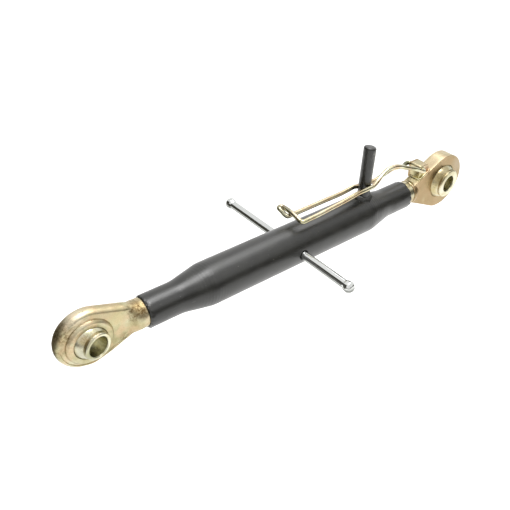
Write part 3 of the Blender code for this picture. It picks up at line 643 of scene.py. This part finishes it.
# Neck up to the tube's mouth, with the same skin as the forging at its start
neckEndX = frontEye["mouth"] - 0.2 * mm
neckProfile = roundedProfile([
    (tail - 3 * mm, 0, 0), (tail - 2.5 * mm, neck - 2 * mm, 0), (tail - 0.5 * mm, neck - 0.09 * mm, 0),
    (tail, neck, 0), (neckEndX, neck, 0.5 * mm), (neckEndX, 0, 0)], 4)
neckGrid = turnedGrid(refined(neckProfile, 0.7 * mm), "x", (0, 0, frontEye["rise"]), 144)
mirrored = np.stack([neckGrid[..., 0], -np.abs(neckGrid[..., 1]), neckGrid[..., 2]], -1)
skin = unevenness(mirrored, frontEye["roughSize"], frontEye["roughSeed"]) * frontEye["rough"]
alongX, alongY, alongZ = skinShares
neckGrid += np.stack([alongX * skin, -alongY * skin * neckGrid[..., 1] / neck, alongZ * skin], -1)
neckPiece = gridPiece("frontNeck", filleted(neckGrid), sharp=50)
fit(neckPiece, forgedZinc, "front_end", "front_eye")


# Screw thread: the radius is a triangle wave of length along the screw less turn round it. It deepens over
# the lead-in and the whole screw narrows over its tip.
thread = dict(pitch=3.0 * mm, depth=1.6 * mm, leadIn=2 * mm, tip=2.5 * mm, tipCut=1.2 * mm)


def threadedShank(start, end, radius):
    x = np.arange(start, end, thread["pitch"] / 8)[:, None]
    turn = np.linspace(0, 2 * np.pi, 48, endpoint=False)[None]
    ridge = np.abs((x / thread["pitch"] - turn / (2 * np.pi)) % 1 - 0.5) * 2
    deepening = np.clip((x - start) / thread["leadIn"], 0, 1)
    narrowing = 1 - np.clip((end - x) / thread["tip"], 0, 1)
    r = radius - thread["depth"] * (1 - ridge) * deepening - thread["tipCut"] * narrowing
    return np.stack([x + 0 * turn, r * np.cos(turn), r * np.sin(turn)], -1)


shankGrid = threadedShank(frontEye["mouth"] - 1.5 * mm, frontEye["tip"], frontEye["shank"])
shankPiece = gridPiece("frontShankThread", shankGrid, capStart=True, capEnd=True, sharp=50)
fit(shankPiece, forgedZinc, "front_end", "front_eye")

# Rear eye: a thick plate cut to the outline, with a small round along its edges.
rearEye = dict(
    centre=(456.3 * mm, 0, 0), radius=32.3 * mm, tail=55.3 * mm, tailHalf=9.5 * mm, counts=(132, 44, 16),
    seat=21.5 * mm, half=7.8 * mm, edge=0.25 * mm, rough=0.08 * mm, roughSize=14 * mm, roughSeed=5)
sides = [rearEye[key] for key in ("radius", "tail", "tailHalf")]
rim = eyeOutline(*sides, rearEye["counts"])
inner = eyeOutline(*[side - rearEye["edge"] for side in sides], rearEye["counts"])
seatEdge = math.sqrt(rearEye["seat"] ** 2 - rearEye["half"] ** 2)
rings = [(facing(math.sqrt(rearEye["seat"] ** 2 - depth ** 2), rim), depth)
         for depth in np.linspace(0, rearEye["half"] - 0.3 * mm, 8)]
roughFrom = len(rings) + 1
last = facing(seatEdge + 0.35 * mm, rim)
rings += [(last + (inner - last) * t, rearEye["half"]) for t in np.linspace(0, 1, 20)]
rings += [(inner + (rim - inner) * math.sin(turn), rearEye["half"] - rearEye["edge"] * (1 - math.cos(turn)))
          for turn in np.linspace(0, np.pi / 2, 6)[1:]]
rings += [(rim, rearEye["half"] * share) for share in (0.5, 0.0)]
flat = np.stack([points for points, height in rings]) * [-1, 1] + np.array(rearEye["centre"])[[0, 2]]
heights = np.array([height for points, height in rings])[:, None] * np.ones(flat.shape[:2])
eyePiece = gridPiece("rearEyePlate", bothFaces(flat, heights, roughFrom, rearEye), wrapRows=True, sharp=30)
fit(eyePiece, plateZinc, "rear_end", "rear_eye")
print("eyes ready")


# Rear stud with its collar, and the weld that joins it to the plate
stud = dict(
    collarStart=393.7 * mm, collarEnd=400.7 * mm, collar=12.8 * mm, radius=12 * mm, tip=255.5 * mm,
    beadStart=401.0 * mm, beadEnd=413.2 * mm, core=6 * mm, low=8.1 * mm, high=13.3 * mm, uneven=0.005,
    unevenSize=5 * mm)
studGrid = threadedShank(-(stud["collarStart"] + 1 * mm), -stud["tip"], stud["radius"]) * [-1, 1, 1]
studPiece = gridPiece("rearStudThread", studGrid, capStart=True, capEnd=True, sharp=50)
fit(studPiece, forgedZinc, "rear_end", "rear_stud")
collarProfile = roundedProfile([
    (stud["collarStart"], 0, 0), (stud["collarStart"], stud["collar"], 0.6 * mm),
    (stud["collarEnd"], stud["collar"], 0.8 * mm), (stud["collarEnd"], 0, 0)], 4)
collarPiece = gridPiece("rearStudCollar", turnedGrid(refined(collarProfile, 0.8 * mm), "x", (0, 0, 0), 128))
fit(collarPiece, ballZinc, "rear_end", "rear_stud")

# Bead: shares along it and out from its low to its high radius, from the collar to the plate
beadShares = ((0, 0.90), (0.04, 0.98), (0.12, 1), (0.33, 0.97), (0.57, 0.66), (0.82, 0.26), (1, 0))
beadLength, beadHeight = stud["beadEnd"] - stud["beadStart"], stud["high"] - stud["low"]
beadProfile = roundedProfile([(stud["beadStart"], stud["core"], 0)] + [
    (stud["beadStart"] + beadLength * a, stud["low"] + beadHeight * r, 2 * mm) for a, r in beadShares] + [
    (stud["beadEnd"], stud["core"], 0)], 4)
beadGrid = turnedGrid(refined(beadProfile, 0.6 * mm), "x", (0, 0, 0), 128)
beadGrid[..., 1:] *= (1 + stud["uneven"] * unevenness(beadGrid, stud["unevenSize"], 41))[..., None]
beadPiece = gridPiece("rearWeldBead", beadGrid, capStart=True, capEnd=True)
fit(beadPiece, plateZinc, "rear_end", "rear_weld")

# Clip lug on the plate's sloping upper edge, a little to the far side, bored for the wire's ends
lug = dict(
    leftFoot=412.6 * mm, leftTop=411.4 * mm, rightFoot=429.8 * mm, rightTop=425.4 * mm, top=31.5 * mm,
    corner=2.8 * mm, edge=0.9 * mm, near=-5.1 * mm, far=10.9 * mm, sunk=2.2 * mm, tailX=401.0 * mm,
    tailHeight=9.5 * mm, slope=0.4774, bore=2.65 * mm, boreReach=14 * mm, hinge=(415.9 * mm, 0, 27.2 * mm),
    rough=0.12 * mm, roughSize=7 * mm, weld=1.35 * mm, weldNear=-6.1 * mm, weldFar=7.6 * mm,
    weldOut=0.5 * mm, weldShort=1.4 * mm, weldRough=0.14 * mm, weldRoughSize=3.4 * mm)


# Height of the plate's sloping upper edge, a straight line along the plate.
def plateEdge(x):
    return lug["tailHeight"] + (x - lug["tailX"]) * lug["slope"]


leftFoot = (lug["leftFoot"], plateEdge(lug["leftFoot"]) - lug["sunk"])
rightFoot = (lug["rightFoot"], plateEdge(lug["rightFoot"]) - lug["sunk"])
lugOutline = refined(roundedProfile([
    (*leftFoot, 0), (lug["leftTop"], lug["top"], lug["corner"]),
    (lug["rightTop"], lug["top"], lug["corner"]), (*rightFoot, 0), (*leftFoot, 0)], 8), 0.8 * mm)[:-1]
# Block: the outline is carried across and, near both ends, inset along its own normals by a quarter circle.
tangent = np.roll(lugOutline, -1, 0) - np.roll(lugOutline, 1, 0)
normal = np.stack([tangent[:, 1], -tangent[:, 0]], 1) / np.linalg.norm(tangent, axis=1, keepdims=True)
normal *= -np.sign(((lugOutline - lugOutline.mean(0)) * normal).sum())
turn = np.linspace(0, np.pi / 2, 6)
outIn, upDown = 1 - np.sin(turn), 1 - np.cos(turn)
insets = lug["edge"] * np.concatenate([outIn, outIn[::-1]])
ends = np.concatenate([lug["near"] + lug["edge"] * upDown, lug["far"] - lug["edge"] * upDown[::-1]])
lugRings = lugOutline[None] + normal[None] * insets[:, None, None]
lugGrid = np.stack([lugRings[..., 0], ends[:, None] + 0 * lugRings[..., 0], lugRings[..., 1]], -1)
lugGrid += (unevenness(lugGrid, lug["roughSize"], 17) * lug["rough"])[..., None] * [1, 0, 1]
lugPiece = gridPiece("clipLugBlock", lugGrid, capStart=True, capEnd=True, sharp=40)
cutBore(lugPiece, rodGrid(lug["boreReach"], lug["bore"], "y", lug["hinge"], 40), 40)
fit(lugPiece, plateZinc, "rear_end", "clip_lug")


# Smooth curve through the points (Catmull-Rom), with the same count of steps in each span.
def smoothCurve(points, steps):
    points = np.array(points, float)
    padded = np.vstack([2 * points[0] - points[1], points, 2 * points[-1] - points[-2]])
    t = np.linspace(0, 1, steps, endpoint=False)[None, :, None]
    p0, p1, p2, p3 = [padded[i:len(padded) - 3 + i][:, None] for i in range(4)]
    curve = (2 * p1 + (p2 - p0) * t + (2 * p0 - 5 * p1 + 4 * p2 - p3) * t ** 2
             + (3 * p1 - p0 - 3 * p2 + p3) * t ** 3) / 2
    return np.vstack([curve.reshape(-1, 3), points[-1:]])


# Round wire: a circle carried along the path, square to it, with its first direction kept level.
def wireGrid(path, radius, columns=28):
    tangent = np.gradient(path, axis=0)
    tangent /= np.linalg.norm(tangent, axis=1, keepdims=True)
    side = np.cross(tangent, [0, 0, 1.0])
    side /= np.linalg.norm(side, axis=1, keepdims=True)
    up = np.cross(side, tangent)
    turn = np.linspace(0, 2 * np.pi, columns, endpoint=False)
    ring = side[:, None] * np.cos(turn)[None, :, None] + up[:, None] * np.sin(turn)[None, :, None]
    return path[:, None] + radius * ring


# The lug's weld: a bead laid along the plate's edge round the lug's near side and both ends.
left, right = lug["leftFoot"] - lug["weldOut"], lug["rightFoot"] - lug["weldShort"] + lug["weldOut"]
near, far = lug["weldNear"], lug["weldFar"]
corners = [(left, far), (left, 0), (left, near + 2 * mm), (left + 1.2 * mm, near + 0.3 * mm),
           (left + 4 * mm, near), (right - 4 * mm, near), (right - 1.2 * mm, near + 0.3 * mm),
           (right, near + 2 * mm), (right, 0), (right, far)]
weldPath = smoothCurve([(x, y, plateEdge(x) + 0.1 * mm) for x, y in corners], 12)
weldGrid = wireGrid(weldPath, lug["weld"], 20)
weldGrid += (unevenness(weldGrid, lug["weldRoughSize"], 27) * lug["weldRough"])[..., None] * [0.6, 0.6, 1]
padPiece = gridPiece("lugWeldBead", weldGrid, capStart=True, capEnd=True)
fit(padPiece, plateZinc, "rear_end", "lug_weld")
print("rear end ready")


# Spring wire clip: centre line in mm from the hinge, along the near strand, round the hairpin handle and
# back along the far strand
clip = dict(
    radius=2.4 * mm,
    nearStrand=[
        (0, -0.1, 0), (0, -6.2, 0), (-0.84, -8.26, 0), (-2.9, -9.1, 0), (-7.0, -9.1, 2.0),
        (-14.6, -8.8, 6.1), (-21.6, -8.5, 9.1), (-28.9, -8.0, 12.0), (-38.1, -7.3, 15.7),
        (-45.8, -7.0, 19.0), (-52.4, -6.0, 20.2), (-61.1, -5.0, 19.4), (-67.6, -5.0, 16.4),
        (-74.0, -5.7, 12.9), (-80.0, -7.2, 10.2), (-86.0, -8.8, 9.3), (-91.0, -9.3, 9.3),
        (-98.0, -9.3, 9.1), (-109.2, -9.3, 9.0), (-122.3, -9.3, 7.3), (-137.1, -9.3, 5.8),
        (-151.1, -9.3, 4.8), (-164.3, -9.3, 3.8), (-173.8, -9.3, 3.4)],
    handle=[
        (-183.3, -9.3, 3.1), (-185.36, -8.46, 3.1), (-186.2, -6.4, 3.1), (-186.2, 0, 4.6),
        (-186.2, 9.3, 6.1), (-186.2, 18.8, 6.1), (-187.0, 20.7, 6.1), (-188.9, 21.5, 6.1),
        (-190.8, 20.7, 6.1), (-191.6, 18.8, 6.1), (-190.9, 15.4, 4.3), (-190.1, 12.2, 2.3),
        (-188.9, 10.14, 1.4), (-186.7, 9.3, 1.2)],
    farStrand=[
        (-174.7, 9.3, 1.1), (-164.3, 9.3, 1.2), (-141.0, 9.3, 1.4), (-117.3, 9.3, 1.4),
        (-104.3, 9.3, 2.3), (-96.5, 9.3, 3.1), (-89.9, 9.3, 1.9), (-81.4, 9.1, 2.1), (-75.4, 7.6, 2.2),
        (-66.1, 6.2, 2.6), (-51.0, 6.0, 6.2), (-36.5, 7.4, 7.0), (-25.2, 9.5, 3.8), (-18.0, 11.1, 1.8),
        (-12.2, 12.5, 0), (-6.3, 14.8, -0.4), (-2.9, 14.9, 0), (-0.84, 14.06, 0), (0, 12.0, 0),
        (0, 5.9, 0)])
wireLine = clip["nearStrand"] + clip["handle"] + clip["farStrand"]
wirePath = smoothCurve(wireLine, 7) * mm + np.array(lug["hinge"])
wirePiece = gridPiece("springWire", wireGrid(wirePath, clip["radius"]), capStart=True, capEnd=True)
fit(wirePiece, wireZinc, "clip", "clip_wire")
print("clip ready")


# Studio: a pale floor and a white room, a small bright lamp overhead and two weak ones, and dark flags
# round the set that only reflections see, so that bright metal has something dark to show. On the far
# left the flags run on as a cloth that lies on the floor.
studio = dict(
    floorDrop=140 * mm, floorColour="#f4f4f2", floorGlow=0.42, floorSize=6.0, ambient=0.55,
    middle=(0.2, 0, 0), flagRadius=2.2, flags=((148.0, 44.0, 40.0), (-62.0, 46.0, 46.0)),
    flagColour="#56544d", flagLift=2 * mm, cloth=0.9, clothWidth=60.0)
lowest = cadBox[0][2] - studio["floorDrop"]


# White where a camera ray, a reflection or glass looks at it, the given level for all other light.
def whiteWhereSeen(tree, seen, unseen):
    path = tree.nodes.new("ShaderNodeLightPath").outputs
    looks = addNode(tree, "Math", [path["Is Camera Ray"], path["Is Glossy Ray"]], operation="MAXIMUM")
    looks = addNode(tree, "Math", [looks, path["Is Transmission Ray"]], operation="MAXIMUM")
    return addNode(tree, "MapRange", [looks, 0, 1, unseen, seen])


material, tree = newMaterial("paleStudioFloor")
shader = addNode(tree, "BsdfPrincipled", {
    "Base Color": studio["floorColour"], "Roughness": 0.9, "Specular IOR Level": 0.0,
    "Emission Color": (1, 1, 1, 1), "Emission Strength": whiteWhereSeen(tree, studio["floorGlow"], 0)})
addNode(tree, "OutputMaterial", {"Surface": shader})
size = studio["floorSize"]
corner = np.array([[-size, size]])
floorGrid = np.stack([corner.T + 0 * corner, corner + 0 * corner.T, lowest + 0 * (corner + corner.T)], -1)
floor = gridPiece("studioFloor", floorGrid, wrapColumns=False)
floor.data.materials.append(material)

material, tree = newMaterial("darkFlagCloth")
shader = addNode(tree, "BsdfPrincipled", {
    "Base Color": studio["flagColour"], "Roughness": 0.9, "Specular IOR Level": 0.0})
addNode(tree, "OutputMaterial", {"Surface": shader})
turn = np.linspace(-180, 180, 96, endpoint=False)


# Bell curve of the turn round a direction, exp(-(difference / width) squared), all in degrees.
def bellRound(towards, width):
    return np.exp(-(((turn - towards + 180) % 360 - 180) / width) ** 2)


# The flags' top edge rises towards each side in the list (turn, rise, width), and the cloth comes nearer
# towards the first.
rise = sum(high * bellRound(towards, width) for towards, high, width in studio["flags"])
flagTop = lowest + studio["flagRadius"] * np.tan(np.radians(rise)) * (1 - lowest / studio["flagRadius"])
circle = studio["flagRadius"] * np.stack([np.cos(np.radians(turn)), np.sin(np.radians(turn))], -1)
laid = 1 - studio["cloth"] * bellRound(studio["flags"][0][0], studio["clothWidth"])[:, None]
foot = lowest + studio["flagLift"] + 0 * flagTop
flagGrid = np.stack([np.column_stack([circle * laid, foot]), np.column_stack([circle, foot]),
                     np.column_stack([circle, flagTop])])
flags = gridPiece("studioFlags", flagGrid + np.array(studio["middle"]))
flags.data.materials.append(material)
flags.visible_camera = flags.visible_diffuse = flags.visible_shadow = False

world = bpy.data.worlds.new("studioWorld")
bpy.context.scene.world = world
world.use_nodes = True
background = world.node_tree.nodes["Background"]
background.inputs["Color"].default_value = (1, 1, 1, 1)
brightness = whiteWhereSeen(world.node_tree, 1.0, studio["ambient"])
world.node_tree.links.new(brightness, background.inputs["Strength"])


# Square soft lamps: place in metres, side in metres, power in watts
lamps = dict(
    overheadLamp=((0.32, -0.02, 1.32), 0.7, 12), farLamp=((1.15, 0.45, 1.55), 0.9, 5.5),
    fillLamp=((0.9, -1.4, 1.1), 0.9, 4))
for name, (place, side, power) in lamps.items():
    light = bpy.data.lights.new(name, "AREA")
    light.shape, light.size, light.size_y, light.energy = "RECTANGLE", side, side, power
    lamp = bpy.data.objects.new(name, light)
    lamp.location = place
    lamp.rotation_euler = (Vector(studio["middle"]) - Vector(place)).to_track_quat("-Z", "Y").to_euler()
    bpy.context.collection.objects.link(lamp)
print("studio ready")


# Camera at the photograph's place
camera = dict(
    place=(-158.16 * mm, -395.73 * mm, 388.68 * mm), azimuth=-40.43, elevation=36.25, roll=2.50,
    focalPixels=670.58, framePixels=510, sensor=36)
a, e, r = [math.radians(camera[key]) for key in ("azimuth", "elevation", "roll")]
back = np.array([math.sin(a) * math.cos(e), -math.cos(a) * math.cos(e), math.sin(e)])
right = np.cross(-back, [0, 0, 1])
right /= np.linalg.norm(right)
up = np.cross(back, right)
rolled = [right * math.cos(r) + up * math.sin(r), up * math.cos(r) - right * math.sin(r), back]
view = bpy.data.cameras.new("photoCamera")
view.sensor_width, view.clip_start = camera["sensor"], 0.01
view.lens = camera["focalPixels"] / camera["framePixels"] * camera["sensor"]
viewer = bpy.data.objects.new("photoCamera", view)
viewer.matrix_world = Matrix.Translation(camera["place"]) @ Matrix(np.stack(rolled, 1).tolist()).to_4x4()
bpy.context.collection.objects.link(viewer)
bpy.context.scene.camera = viewer
bpy.context.scene.view_settings.view_transform = "Standard"
